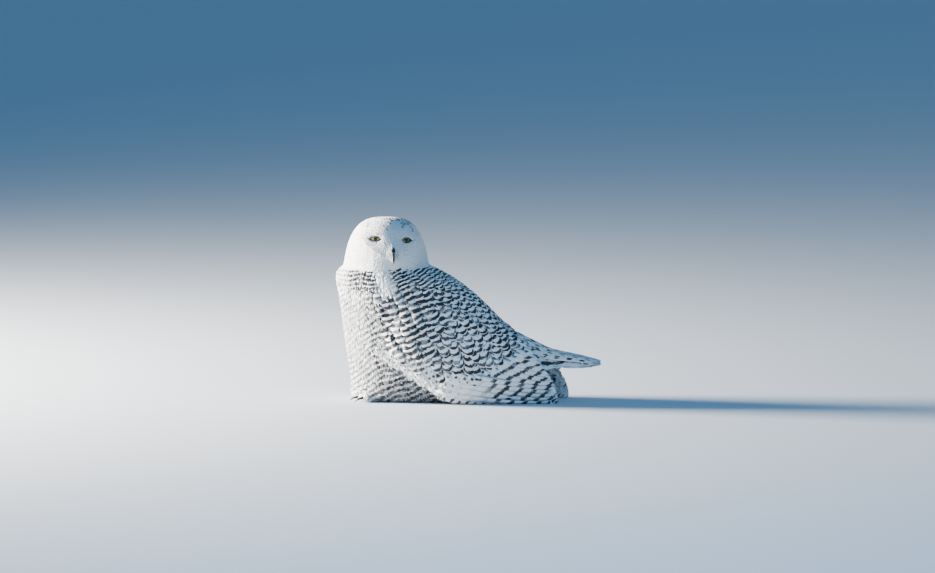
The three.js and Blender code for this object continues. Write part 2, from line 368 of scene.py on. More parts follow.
def cast(origins, directions):
    """First places met by rays, their smooth normals, and which rays met one."""
    found = [surface.ray_cast(o, d) for o, d in zip(origins.tolist(), directions.tolist())]
    met = np.array([f[0] is not None for f in found])
    place = np.array([f[0] if f[0] is not None else (0, 0, 0) for f in found], dtype=float)
    normal = face_normals[[f[2] if f[2] is not None else 0 for f in found]]
    return place, normal, met


# %% [markdown]
# ## Vanes
#
# A feather could be a card with a cut-out picture, a bundle of barbs, or a thin
# closed blade. The blade keeps its outline from every side and is a closed
# solid. Its rings have four or six corners, so the vane is arched across and
# sharp at the edge. Every second ring is a little narrower, which frays the
# edge as parted barbs do.


# %% Laying and building vanes
def lay(place, heading, length, sink, lift, rows, behind=0.0):
    """Shafts (n, rows, 3) along headings, and their normals.

    Each root is behind its place by a share of the length. Root, middle and tip are
    settled on the body and joined by a parabola. The root starts sunk below the
    surface and the tip ends lifted above it."""
    v = crowded(rows, 1.35)
    root = place - heading * length[:, None] * behind
    stops = [root + heading * length[:, None] * part for part in (0.0, 0.5, 1.0)]
    settled = [nearest(stop) for stop in stops]
    shares = np.stack([(2 * v - 1) * (v - 1), 4 * v * (1 - v), v * (2 * v - 1)])
    shaft = np.einsum("kr,knd->nrd", shares, np.stack([s[0] for s in settled]))
    normal = unit(np.einsum("kr,knd->nrd", shares, np.stack([s[1] for s in settled])))
    height = np.reshape(lift, (-1, 1)) * v - sink * (1.0 - v) ** 2
    return shaft + normal * height[..., None], normal


def body_outline(v):
    """Half width of a contour feather: narrow at the root, broad and round at the tip."""
    return np.sqrt(v + 0.03) * np.sqrt(np.clip(1.02 - v**5, 0.0, 1.0))


def flight_outline(v):
    """Half width of a flight feather: even, with a short round tip."""
    return (0.45 + 0.55 * fade(0.0, 0.25, v)) * np.sqrt(np.clip(1.01 - v**16, 0.0, 1.0))


def tuft_outline(v):
    """Half width of a down tuft: broadest in the middle, pointed at the tip."""
    return np.sqrt(np.sin(np.pi * (0.12 + 0.86 * v)))


# Corners of a ring across and up the vane, and the quads that close it.
RINGS = {
    4: ([-1.0, 0.0, 1.0, 0.0], [0.0, 1.0, 0.0, -1.0], [[0, 1, 2, 3]]),
    6: (
        [-1.0, -0.5, 0.5, 1.0, 0.5, -0.5],
        [0.0, 0.85, 0.85, 0.0, -0.85, -0.85],
        [[0, 1, 2, 5], [5, 2, 3, 4]],
    ),
}
FLOOR_GAP = 0.15 * MM


def ring_walls(rows, ring):
    """Quads between each ring of corners and the next."""
    r, k = np.meshgrid(np.arange(rows - 1) * ring, np.arange(ring), indexing="ij")
    k_next = (k + 1) % ring
    return np.stack([r + k, r + ring + k, r + ring + k_next, r + k_next], -1).reshape(-1, 4)


def vanes(name, shaft, normal, half_width, cell, marks, kept=slice(None), outline=body_outline,
          ring=6, thickness=0.35 * MM, droop=0.14, tilt=0.0, fray=0.12, slot="barred_plumage"):
    """Closed vanes, all in one mesh, from the kept ones of n shafts.

    Across a vane the edges hang by droop times the half width, and tilt raises one edge;
    both are one number or one for each shaft. cell is (n, 4): each vane's place and size
    on the map, near its root's place on the unwrapped body."""
    droop, tilt = (np.broadcast_to(part, len(shaft))[kept, None, None] for part in (droop, tilt))
    half_width = np.broadcast_to(half_width, len(shaft))
    shaft, normal, half_width, cell = (part[kept] for part in (shaft, normal, half_width, cell))
    n, rows, _ = shaft.shape
    across, height, cap = (np.array(part) for part in RINGS[ring])
    step = np.linalg.norm(np.diff(shaft, axis=1), axis=-1)
    reach = np.concatenate([np.zeros((n, 1)), np.cumsum(step, axis=1)], axis=1)
    v = reach / reach[:, -1:]
    along = unit(np.gradient(shaft, axis=1))
    side = unit(np.cross(along, normal))
    up = np.cross(side, along)
    teeth = 1.0 - fray * (np.arange(rows) % 2) * rng.uniform(0.3, 1.0, (n, rows))
    half = half_width[:, None] * outline(v) * teeth
    thick = thickness * (1.0 - 0.6 * v**3)
    out = half[..., None] * across
    rise = thick[..., None] * height + half[..., None] * (tilt * across - droop * across**2)
    points = side[:, :, None] * out[..., None] + up[:, :, None] * rise[..., None]
    points = shaft[:, :, None] + points
    points[..., 2] = np.maximum(points[..., 2], FLOOR_GAP)

    walls = ring_walls(rows, ring)
    tip = cap + (rows - 1) * ring
    one = np.vstack([walls, cap, tip[:, ::-1]])
    faces = (one[None] + (np.arange(n) * rows * ring)[:, None, None]).reshape(-1, 4)

    made = mesh_object(name, points.reshape(-1, 3), faces, plumage, slot)
    u_all, v_all, size = np.broadcast_arrays(across, v[..., None], reach[:, -1:, None])
    point_values(made, "vane", np.stack([u_all, v_all, size], -1))
    for key, value in marks.items():
        point_values(made, key, np.broadcast_to(value[kept, None, None], (n, rows, ring, 3)))
    cell = cell[:, None, None]
    spot = cell[..., :2] + 0.5 * cell[..., 2:] * np.stack([u_all, 2 * v_all**1.4 - 1], -1)
    layer = made.data.uv_layers.new(name="OFBake")
    layer.data.foreach_set("uv", flat(spot.reshape(-1, 2)[faces.ravel()]))
    print(f"{name}: {n} vanes, {2 * len(faces)} triangles")


def on_map(u, v, wide=0.003, tall=0.003):
    """Cells of the map at (u, v), all of one size; the size of a tuft's unless given."""
    return np.stack([u.ravel(), v.ravel(), np.full(u.size, wide), np.full(u.size, tall)], -1)


# %% [markdown]
# ## Lie and markings
#
# Two fields over the whole bird decide how its feathers look. The lie is their
# heading: down on the breast and ever more backwards towards the tail. The
# markings are the bars' spacing, darkness and bend. Coat and skin read the same
# fields, so they always agree.


# %% Fields over the body
def lie(place):
    """Heading of the feathers at a place, before it is pressed onto the surface."""
    x, z = place[..., 0] / MM, place[..., 2] / MM
    stations = [-230, -150, -100, 0, 60, 110, 160, 210]
    below = np.interp(x, stations, [58, 76, 66, 66, 58, 46, 32, 24])
    below += 22 * fade(200, 255, z) * fade(-110, -160, x)
    below += 16 * fade(120, 95, z) * np.exp(-(((x - 45) / 50) ** 2))
    return tailward(np.radians(below))


def marks_of(n, spacing, phase, bend, strength, share, slant,
             half_width=1.5, centre=0.0, reach=1.0):
    """The arrays that the plumage material reads, from numbers or arrays of n."""
    groups = {
        "mark": (spacing, phase, bend),
        "ink": (strength, share, slant),
        "spot": (half_width, centre, reach),
    }
    return {key: np.stack([np.broadcast_to(value, n).astype(float) for value in group], -1)
            for key, group in groups.items()}


def white(n):
    """Marks of plain white feathers: bars of no strength."""
    return marks_of(n, 10 * MM, 0.0, 0.0, 0.0, 0.3, 0.0)


def run_up(place):
    """Distance up the bird, measured across its bars, which rise to the rear.

    The bars are nearly level on the collar in front of the throat, steepest on the
    breast and slight on the wings. With this phase they run on between feathers."""
    x, z = place[..., 0], place[..., 2]
    front = -152 * MM
    collar = np.where(x < THROAT_X, 0.035, 0.577)
    wing = np.where((z < above_flight(x) + 30 * MM) & (x > -20 * MM), 0.07, 0.404)
    slope = np.where(z > COLLAR_FOOT, collar, np.where(x < front, 0.781, wing))
    waves = np.sin(x / (13 * MM) + z / (21 * MM))
    waves += 0.7 * np.sin(x / (7.3 * MM) - z / (17 * MM) + 1.0)
    return (z - slope * (x - front)) * 0.93 + 1.7 * MM * waves


def throat(place):
    """1 on the white patch below the bill and 0 away from it."""
    below = 250 * MM - place[..., 2]
    upright = np.where(below < 0, 0.45 * below, below) / (28 * MM)
    beside = (place[..., 0] - THROAT_X - 0.35 * below) / (17 * MM)
    return np.exp(-((beside**2 + upright**2) ** 2)) * (place[..., 1] < 0)


def upper_marks(place, tip):
    """Bars of mantle, scapulars and nape: long wavy lines in front, bold crescents behind."""
    n = len(place)
    x, z = place[:, 0] / MM, place[:, 2] / MM
    rear = fade(-60, 20, x)
    on_body = np.where(x < -25, 13.0, 15.5) * MM
    spacing = np.where(tip[:, 2] > COLLAR_FOOT, COLLAR_SPACING, on_body)
    level = (place[:, 2] < above_flight(place[:, 0]) + 26 * MM) & (x > -20) & (x < 90)
    runs_on = (x < -25) | level
    phase = np.where(runs_on, run_up(tip) / spacing, 0.16) + rng.uniform(-0.1, 0.1, n)
    strength = (1 - throat(place)) * rng.uniform(0.92, 1.08, n)
    share = 0.63 - 0.14 * rear + rng.uniform(-0.05, 0.05, n)
    half_width = np.where(x > 138, 0.45, 1.5)
    bend, slant = np.where(level, -0.15, -0.2 - 0.6 * rear), rng.uniform(-0.16, 0.16, n)
    return marks_of(n, spacing, phase, bend, strength, share, slant, half_width)


def lower_marks(place, tip):
    """Thin bars of breast and belly: faint in front, darker at the collar and towards the wings.
    The darker, broader bars at the collar and on the flank below the wing's edge are partly the
    owl's own bars and partly painted shade, under the head's overhang and under the wing.
    """
    n = len(place)
    x, z = place[:, 0] / MM, place[:, 2] / MM
    # Painted shade under the head's overhang darkens the collar's own bars.
    collar = fade(230, 244, z) * fade(-222, -200, x)
    beside = fade(-200, -145, x)
    # Painted shade on the flank below the wing's front edge, over its own wavy bars.
    shade = fade(-185, -135, x) * fade(125, 80, z)
    low = fade(120, 50, z)
    faint = 0.56 + 0.36 * np.maximum(beside, low)
    strength = np.maximum(faint, np.maximum(collar, shade)) * (1 - throat(place))
    strength *= fade(150, 90, x) * rng.uniform(0.7, 1.2, n)
    spacing = np.where(tip[:, 2] > COLLAR_FOOT, COLLAR_SPACING, 12.0 * MM)
    broader = np.maximum(0.42 * collar, np.maximum(0.4 * shade, 0.2 * beside))
    share = 0.34 + broader + rng.uniform(-0.05, 0.05, n)
    phase = run_up(tip) / spacing + rng.uniform(-0.15, 0.15, n) * (1 - 0.7 * collar)
    return marks_of(n, spacing, phase, -0.15, strength, share, 0.0)


# %% [markdown]
# ## Body feathers
#
# Contour feathers overlap like tiles, each tip over the gap between two below.
# Scattered roots would leave gaps, so they stand on a brick pattern over the
# trunk's rings. Rays from outside find the surface there, which is the wing
# where a wing covers the trunk.


# %% Brick pattern over the trunk
GOLDEN = 0.618


def trunk_place(t, angle):
    """Point on the trunk's loft; angle 0 is the back line, 180 degrees the breast line."""
    back, breast = spline(TRUNK_BACK, t), spline(TRUNK_BREAST, t)
    xz = breast + (back - breast) * (0.5 + 0.5 * np.cos(angle))[..., None]
    y = spline(TRUNK_HALF_WIDTH, t)[..., 0] * np.sin(angle)
    return np.stack([xz[..., 0], y, xz[..., 1]], -1)


def outward_from_trunk(t, angle):
    """Points on the trunk's loft and the outward unit normals there."""
    place = trunk_place(t, angle)
    along = trunk_place(t + 0.004, angle) - trunk_place(t - 0.004, angle)
    across = trunk_place(t, angle + 0.01) - trunk_place(t, angle - 0.01)
    outward = unit(np.cross(along, across))
    middle = 0.5 * (trunk_place(t, 0 * angle) + trunk_place(t, 0 * angle + np.pi))
    return place, outward * np.sign(((place - middle) * outward).sum(-1, keepdims=True))


def bricks(t_range, angle_range, rows, columns, crowding=1.0, shear=0.0, jitter=0.16):
    """(t, angle) of a brick pattern and its cells on the map.

    crowding below 1 packs the first rows closer; shear lifts the rows towards the back line."""
    row, column = np.meshgrid(np.arange(rows), np.arange(columns), indexing="ij")
    r = (row + 0.5 + rng.uniform(-jitter, jitter, row.shape)) / rows
    c = (column + (row * GOLDEN) % 1 + rng.uniform(-jitter, jitter, row.shape)) / columns
    angle = angle_range[0] + (angle_range[1] - angle_range[0]) * c
    t = t_range[0] + (t_range[1] - t_range[0]) * r * (crowding + (1 - crowding) * r)
    t = t + shear * (np.abs(angle) - 60) / 60 * fade(0.0, 0.15, t) * fade(1.0, 0.8, t)
    cell = on_map((column + 0.5) / columns, (row + 0.5) / rows, 0.8 / columns, 0.8 / rows)
    return np.clip(t.ravel(), 0.0, 1.0), np.radians(angle).ravel(), cell


# Millimetres over which coarse and fine feathers mix, and two lines on the side of
# the folded wing, as (x, height): its front edge, and the top of its own feathers.
BLEND = 11
SIDEWAYS, OVERLAP = 0.3, 0.55
WING_CLEARANCE, WING_REACH, RAY_START, SOUND_GAP = MM * np.array([4, 60, 140, 4.5])
HAND_EDGE = [[-152, 110], [-94, 67], [-30, 23], [30, 8], [92, 4]]
FLIGHT_TOP = [[-151, 112], [-80, 88], [-10, 62], [65, 53], [110, 84], [150, 108], [185, 128]]


def is_coarse(place):
    """True where broad overlapping feathers lie; elsewhere the plumage is of fine soft tufts.

    The coarse part is the mantle, bounded by the breast, the throat and the wing's front edge."""
    above_edge = place[:, 2] > polyline(HAND_EDGE, place[:, 0])
    front = (-166 + 7 * np.sin(place[:, 2] / (9 * MM))) * MM
    return above_edge & (place[:, 0] > front) & (throat(place) < 0.4)


def ahead_of_wing(place):
    """One millimetre of tailward shift above the wing's front corner and none below it."""
    return (place[:, 2:] > 125 * MM) * np.array([MM, 0, 0])


def above_flight(x):
    """Height of the line on a folded wing's side above which body feathers and coverts lie."""
    return polyline(FLIGHT_TOP, x)


def bare_of_flight(place, loft, normal):
    """True for places that aren't on the part of the wing that the wing's own feathers cover."""
    on_wing = np.linalg.norm(place - loft, axis=-1) > WING_CLEARANCE
    low = place[:, 2] < above_flight(place[:, 0])
    return ~(on_wing & low & (np.abs(normal[:, 1]) > SIDEWAYS))


def is_sound(shaft):
    """True for vanes that keep close to the body from their second ring to the tip."""
    ground, _ = nearest(shaft[:, 1:])
    return np.linalg.norm(shaft[:, 1:] - ground, axis=-1).max(1) < SOUND_GAP


def hug(shaft, normals, half):
    """Droop and tilt that bring both edges of each vane down to the body under its middle."""
    row = shaft.shape[1] * 2 // 3
    middle, up = shaft[:, row], normals[:, row]
    side = unit(np.cross(shaft[:, row] - shaft[:, row - 1], up))
    falls = []
    for sign in (-1, 1):
        edge = middle + sign * side * half[:, None]
        ground, _ = nearest(edge)
        falls.append(((ground - edge) * up).sum(-1) / half)
    droop = np.clip(0.06 - 0.5 * (falls[0] + falls[1]), 0.05, 0.5)
    return droop, np.clip(0.5 * (falls[1] - falls[0]), -0.35, 0.35)


def body_feathers(name, pattern, coarse, length, width, marks, sink, lift, rows, unrest, **extras):
    """Contour feathers on the coarse or the fine part of a brick pattern.

    length, width, marks and lift are functions of place."""
    t, angle, cell = pattern
    loft, outward = outward_from_trunk(t, angle)
    place, normal, met = cast(loft + outward * RAY_START, -outward)
    kept = met & (np.linalg.norm(place - loft, axis=-1) < WING_REACH)
    kept &= bare_of_flight(place, loft, normal)
    blend = rng.uniform(-BLEND, BLEND, len(place))[:, None] * ahead_of_wing(place)
    kept &= (place[:, 2] > 2 * MM) & (place[:, 2] < 290 * MM)
    kept &= is_coarse(place + blend) == coarse
    place, normal, cell = place[kept], normal[kept], cell[kept]
    n = len(place)
    heading = on_plane(lie(place), normal)
    heading = turned(heading, normal, rng.normal(0, np.radians(unrest), n))
    long = length(place) * rng.uniform(0.9, 1.1, n)
    raised = lift(place) * rng.uniform(0.4, 1.6, n)
    half = 0.5 * width(place) * rng.uniform(0.92, 1.08, n)
    shaft, _ = lay(place, heading, long, sink, raised, rows, OVERLAP)
    long = np.where(is_sound(shaft), long, 0.6 * long)
    shaft, normals = lay(place, heading, long, sink, raised, rows, OVERLAP)
    droop, tilt = hug(shaft, normals, half)
    tip = shaft[:, -1]
    sound = is_sound(shaft) & (is_coarse(tip + BLEND * ahead_of_wing(tip)) | (not coarse))
    vanes(name, shaft, normals, half, cell, marks(place, tip), sound,
          droop=droop, tilt=tilt, **extras)


# %% Mantle, scapulars and smaller coverts
def mantle_lift(place):
    """Tips lie close, but stand off where the lowest row shades the wing's own feathers."""
    above = place[:, 2] - above_flight(place[:, 0])
    near_rump = fade(70 * MM, 110 * MM, place[:, 0])
    return (0.7 + 1.6 * fade(24 * MM, 6 * MM, above)) * (1 - 0.6 * near_rump) * MM


def mantle_length(place):
    """Feathers shorten towards the neck and the rump."""
    x, z = place[:, 0] / MM, place[:, 2] / MM
    return (46 - 12 * fade(200, 260, z) - 10 * fade(80, 130, x)) * MM


body_feathers(
    "mantle_feathers",
    bricks((0.045, 0.97), (-134, 134), 33, 23, crowding=0.76, shear=0.075, jitter=0.26), True,
    mantle_length,
    lambda place: (32 - 8 * fade(200, 260, place[:, 2] / MM)) * MM,
    upper_marks, 3.0 * MM, mantle_lift, rows=11, unrest=5,
)

# %% Breast, belly and flanks
body_feathers(
    "breast_tufts",
    bricks((0.045, 0.99), (64, 296), 76, 92, jitter=0.8), False,
    lambda place: np.full(len(place), 23 * MM),
    lambda place: (7 + 3 * throat(place)) * MM,
    lower_marks, 1.8 * MM, lambda place: (0.6 - 0.35 * throat(place)) * MM, rows=5, unrest=11,
    ring=4, thickness=0.18 * MM, outline=tuft_outline,
)


# %% [markdown]
# ## Wings
#
# On a folded wing the outermost primary lies lowest, and each next feather
# overlaps it from above, so their tips step up along the wing's rear edge.
# They are drawn on the wing's side as curves of distance along the body and
# height, and a ray from the side finds the wing.


# %% Flight feathers
FAR_WING_BACK, WING_THICKNESS = 16 * MM, 17 * MM
EDGE_TILT = 0.09


def on_side(side, x, z):
    """Places on the outer side of a wing at (x, z), with their normals.

    Where the ray misses, the place stays level with the wing's nearest rim."""
    origin = np.stack([x, np.full_like(x, side * 0.3), z], -1).reshape(-1, 3)
    place, normal, met = cast(origin, np.tile([0.0, -side, 0.0], (x.size, 1)))
    met &= side * place[:, 1] > 40 * MM
    rim, _ = nearest(np.stack([x, np.full_like(x, side * 0.075), z], -1).reshape(-1, 3))
    rim[:, 0], rim[:, 2] = origin[:, 0], origin[:, 2]
    place = np.where(met[:, None], place, rim)
    normal = np.where(met[:, None], normal, [0.0, side, 0.0])
    return place.reshape(*x.shape, 3), normal.reshape(*x.shape, 3)


def flight_feathers(name, side, count=13, rows=20):
    """The stack of primaries and secondaries of one wing, lowest first, and its inner face.

    f is a feather's share of the stack and s the share of its length. Roots and
    tips step up with f; the middle of the lower feathers sags."""
    f = np.linspace(0.0, 1.0, count)[:, None]
    s = crowded(rows, 1.7)
    further = FAR_WING_BACK * s * (side == SIDES["right"])
    x = (-30 + 94 * f + (260 - 86 * f - 61 * f**2) * s) * MM + further
    z = (20 + 147 * f + (-14 - 90 * f + 40 * f**2) * s - (7 - 3 * f) * np.sin(np.pi * s)) * MM
    place, normal = on_side(side, x, np.maximum(z, 2.5 * MM))
    shown = fade(-12 * MM, 8 * MM, above_flight(x) - z)
    height = (-4.5 + (5.2 + 1.6 * f) * shown) * MM
    lowest = f[:, 0] < 0.04
    spacing = np.where(lowest, 17, 29) * MM
    phase = 0.5 * np.arange(count) - x[:, -1] / spacing + rng.uniform(-0.2, 0.2, count)
    share = np.where(lowest, 0.42, 0.37)
    reach = np.where(lowest | (f[:, 0] > 0.7), 0.24, 0.13)
    slant, centre = 0.35 * side, -0.45 * side
    marks = marks_of(count, spacing, phase, 0.0, 0.96, share, slant, 0.42, centre, reach)
    cell = on_map(np.full(count, 0.5), (np.arange(count) + 0.5) / count, 0.9, 0.8 / count)
    looks = dict(outline=flight_outline, droop=0.03, fray=0.05)
    vanes(name, place + normal * height[..., None], normal, (13 - 3 * f[:, 0]) * MM, cell, marks,
          tilt=-side * EDGE_TILT, **looks)

    inner, inner_normal = nearest(place - normal * WING_THICKNESS)
    inner = inner + inner_normal * (0.3 + 0.8 * f[..., None]) * MM
    inner, inner_normal, normal = (part[:, rows // 2 :] for part in (inner, inner_normal, normal))
    inwards = (inner_normal * normal).sum(-1).max(-1) < -0.3
    pale = marks_of(count, 25 * MM, 0.0, 0.0, 0.35, 0.35, 0.0, 0.5)
    vanes(name + "_inside", inner, inner_normal, 12 * MM, cell, pale, inwards,
          tilt=side * EDGE_TILT, **looks)


on_both_sides(flight_feathers, "flight_feathers")


# %% Coverts of the hand, along the wing's front edge
def hand_coverts(name, side, rows=7, columns=17):
    """Small spotted feathers from the wrist back over the roots of the primaries.

    The first row is the wing's white front edge."""
    row, column = np.meshgrid(np.arange(rows), np.arange(columns), indexing="ij")
    c = ((column + 0.2 + 0.5 * (row % 2)) / columns).ravel()
    r = (row / (rows - 1)).ravel()
    n = c.size
    steps = np.linspace(0, 1, len(HAND_EDGE))
    x, low = (np.interp(c, steps, MM * np.array(part)) for part in zip(*HAND_EDGE))
    x = x + 34 * MM * r * c
    z = low + (above_flight(x) + 4 * MM - low) * r**1.15
    place, normal = on_side(side, x + rng.normal(0, 1.2 * MM, n), z + rng.normal(0, 1.0 * MM, n))
    down = np.radians(36 - 12 * c + 22 * r * (1 - c))
    heading = on_plane(tailward(down), normal)
    length = (18 + 16 * c) * MM
    shaft, normals = lay(place, heading, length, 2.5 * MM, 1.5 * MM, 8, 0.5)
    strength = np.where(r < 0.3, 0.0, rng.uniform(0.75, 1.05, n))
    strength *= 1 - 0.6 * fade(0.55, 0.8, c) * fade(0.9, 0.5, r)
    marks = marks_of(n, 15 * MM, 0.13, 0.0, strength, 0.42, 0.0, 0.34)
    slots = columns + 1
    cell = on_map(c * columns / slots, (row.ravel() + 0.5) / rows, 0.8 / slots, 0.8 / rows)
    vanes(name, shaft, normals, (8.0 + 4.0 * c) * MM, cell, marks)


on_both_sides(hand_coverts, "hand_coverts")


# %% [markdown]
# ## Tail
#
# Twelve tail feathers are folded into an arched fan, the middle pair on top, and
# are set out by their share of its width. They show from below too, so the fan
# gets a second, paler face there.


# %% Tail feathers
def tail_feathers(name, face, count=12, rows=16):
    """The tail feathers as seen from above (face 1) or from below (face -1)."""
    share = np.linspace(-1.0, 1.0, count)[:, None]
    s = crowded(rows, 1.5)
    x = (128 + (192 - 14 * share**2) * s) * MM
    t = np.interp(x, TAIL_EDGE[:, 0], np.linspace(0, 1, len(TAIL_EDGE)))
    edge, arch = spline(TAIL_EDGE, t), spline(TAIL_ARCH, t)[..., 0]
    y = share * np.minimum(edge[..., 1], 38 * MM) * 0.9
    inward = 1 - np.abs(share)
    z = edge[..., 2] + arch * (1 - np.abs(share) ** 3) + face * 8 * MM
    place, normal = nearest(np.stack([x, y, z], -1))
    shaft = place + normal * ((0.3 + 1.4 * inward * (face > 0)) * MM)[..., None]
    strength = 0.95 if face > 0 else 0.3
    phase, slant = rng.uniform(0, 1, count), rng.uniform(-0.2, 0.2, count)
    marks = marks_of(count, 27 * MM, phase, 0.1, strength, 0.38, slant, 0.55)
    cell = on_map((np.arange(count) + 0.5) / count, np.full(count, 0.5), 0.8 / count, 0.9)
    vanes(name, shaft, normal, 11 * MM, cell, marks,
          outline=flight_outline, droop=0.06, fray=0.05)


tail_feathers("tail_feathers", 1)
tail_feathers("tail_feathers_below", -1)

# %% [markdown]
# ## Head
#
# Head feathers are short and soft and hide their own outlines, so they are many
# small tufts. Rings of them would show as wrinkles; a spiral that turns by the
# golden angle spreads them with no rows. On the face they part at the bill and
# around each eye, and sweep back from there.


# %% Head surface
TURN_COS, TURN_SIN = np.cos(FACE_TURN), np.sin(FACE_TURN)
FACEWARD, HEAD_LEFT = np.array([[TURN_SIN, -TURN_COS, 0.0], [TURN_COS, TURN_SIN, 0.0]])


def from_head(sideways, forwards, height):
    """From the head's own frame to the bird's."""
    x = HEAD_AXIS[0] + sideways * TURN_COS + forwards * TURN_SIN
    y = HEAD_AXIS[1] + sideways * TURN_SIN - forwards * TURN_COS
    return np.stack([x, y, np.broadcast_to(height, x.shape)], -1)


def into_head(place):
    """Sideways, forwards and height of places in the head's own frame."""
    x, y = np.moveaxis(place[..., :2] - HEAD_AXIS, -1, 0)
    return x * TURN_COS + y * TURN_SIN, x * TURN_SIN - y * TURN_COS, place[..., 2]


def bell(level):
    """Width of the head at a level as a share of its greatest."""
    return np.cbrt(1 - level**2) - 0.1 * level * (1 - level)


def head_place(level, angle):
    """Point on the bell of the head; level 1 is the crown and 0 the collar line."""
    width = bell(level)
    depth = np.where(np.cos(angle) > 0, FACE_DEPTH, NAPE_DEPTH)
    height = HEAD_BASE + (HEAD_CROWN - HEAD_BASE) * level
    return from_head(HEAD_HALF_WIDTH * width * np.sin(angle), depth * width * np.cos(angle), height)


def eye_centre(side):
    """Centre of the eyeball on one side of the head, whose left is at positive sideways."""
    sideways, forwards = -np.sin(side * EYE_SPREAD), np.cos(EYE_SPREAD)
    height = EYE_HEIGHT + side * EYE_LEAN
    return from_head(EYE_FROM_AXIS * sideways, EYE_FROM_AXIS * forwards, height)


def eye_axes(side):
    """Unit vectors sideways and along the gaze of one eye, which is level."""
    turn = FACE_TURN - side * EYE_GAZE
    look = np.array([np.sin(turn), -np.cos(turn), 0.0])
    return np.cross(look, UP), look


OPENING_WIDTH, OPENING_HEIGHT, OPENING_DEPTH = 16.5 * MM, 5.9 * MM, 22 * MM


def eye_opening(side, place):
    """Offsets and distances from an eye's front, and which places are inside its opening.

    The opening is an almond in which dark bare skin meets the lids."""
    beside, look = eye_axes(side)
    off = place - eye_centre(side) - look * EYE_RADIUS
    distance = np.linalg.norm(off, axis=-1)
    almond = OPENING_HEIGHT * (1 - (off @ beside / OPENING_WIDTH) ** 2)
    return off, distance, (np.abs(off @ UP) < almond) & (distance < OPENING_DEPTH)


# %% Tufts of face, crown and nape
BILL_BASE = from_head(0.0, *BILL_ROOT)
TUFT_LOOKS = dict(outline=tuft_outline, ring=4, thickness=0.16 * MM, slot="white_plumage")


def golden_spiral(count):
    """Level and angle of points that are evenly spread over the bell of the head."""
    swing = np.linspace(0.0, 0.5 * np.pi, 400)
    level = np.cos(swing)
    radius, height = HEAD_HALF_WIDTH * bell(level), (HEAD_CROWN - HEAD_BASE) * level
    band = np.hypot(np.diff(radius), np.diff(height)) * 0.5 * (radius[1:] + radius[:-1])
    area = np.concatenate([[0.0], np.cumsum(band)])
    order = np.arange(count)
    spread = np.interp((order + 0.5) / count, area / area[-1], swing)
    angle = order * np.pi * (3 - np.sqrt(5)) + rng.uniform(-0.02, 0.02, count)
    return np.cos(spread), angle % (2 * np.pi)


def head_tufts(name, count, is_face):
    """Tufts on the face or on the rest of the head."""
    level, angle = golden_spiral(count)
    place, normal = nearest(head_place(level, angle))
    sideways, forwards, height = (part / MM for part in into_head(place))
    ahead = forwards * MM / FACE_DEPTH
    on_face = ahead > 0.25
    clear = on_face if is_face else ~on_face
    face = fade(0.25, 0.6, ahead)
    ruff = fade(302, 286, height)
    share = face[:, None]
    sweep = on_plane(np.tile(-FACEWARD - 0.75 * UP, (count, 1)), normal)
    apart = place - BILL_BASE + 6 * MM * UP
    heading = sweep * (1 - share) + on_plane(apart, normal) * share
    size = 8.0 + 5.0 * (1 - face) + 2.5 * ruff
    for side in SIDES.values():
        off, distance, is_open = eye_opening(side, place)
        near = np.exp(-((distance / (19 * MM)) ** 2))[:, None]
        heading = heading * (1 - near) + on_plane(off, normal) * near
        clear &= ~is_open
        size = np.minimum(size, 4.0 + 0.17 * distance / MM)
    over_crease = height - 304 - 0.0115 * sideways**2
    lores = fade(-1.0, 1.5, over_crease) * np.exp(-np.clip(over_crease, 0, None) / 16) * face
    # Painted shade: a faint grey line of darker ink on the tufts along the crease under the facial
    # disc's rim, where the raised tufts above it cast shade.
    crease_shade = np.exp(-((over_crease / 1.8) ** 2)) * face * fade(46, 34, np.abs(sideways))
    clear &= ~((np.abs(sideways) < 1.6) & on_face & (height < 318) & (height > 294))
    heading = on_plane(heading, normal)
    heading = turned(heading, normal, rng.normal(0, 0.14, count))
    crown = fade(352, 372, height) * fade(0.85, 0.45, ahead) * (0.3 + 0.7 * (sideways > -8))
    nape = fade(0.1, -0.4, ahead) * fade(345, 300, height) + 2.0 * fade(-0.1, -0.5, ahead)
    length = size * MM * rng.uniform(0.85, 1.25, count)
    lift = (rng.uniform(0.2, 0.7, count) + 3.2 * lores + 0.8 * ruff) * MM
    shaft, normals = lay(place, heading, length, 1.2 * MM, lift, 5, 0.4)
    tip = shaft[:, -1] * [1, 1, 1.7]
    speckles = tip[rng.uniform(0, 1, count) < (1350 * crown + 270 * nape) / count]
    gap = np.linalg.norm(tip[:, None] - speckles[None], axis=-1).min(1)
    # The speckles are the owl's own; the crease term adds painted shade.
    strength = fade(3.6, 2.4, gap / MM) * rng.uniform(0.4, 0.9, count) + 0.14 * crease_shade
    marks = marks_of(count, 14 * MM, 0.5, 0.0, strength, 0.62 + 0.4 * crease_shade, 0.0)
    cell = on_map(angle / (2 * np.pi), np.arange(count) / count)
    half = (0.35 + 0.13 * length / MM) * MM
    vanes(name, shaft, normals, half, cell, marks, clear, droop=0.15, **TUFT_LOOKS)


head_tufts("face_tufts", 13900, True)
head_tufts("crown_tufts", 8000, False)


# %% Bristles over the bill
# How far forward the bill's ridge stands at each height, in millimetres.
RIDGE = [[290, 90.5], [299, 91.5], [306, 91.2], [315, 88.8], [322, 84.2], [328, 78.8], [336, 73.8]]


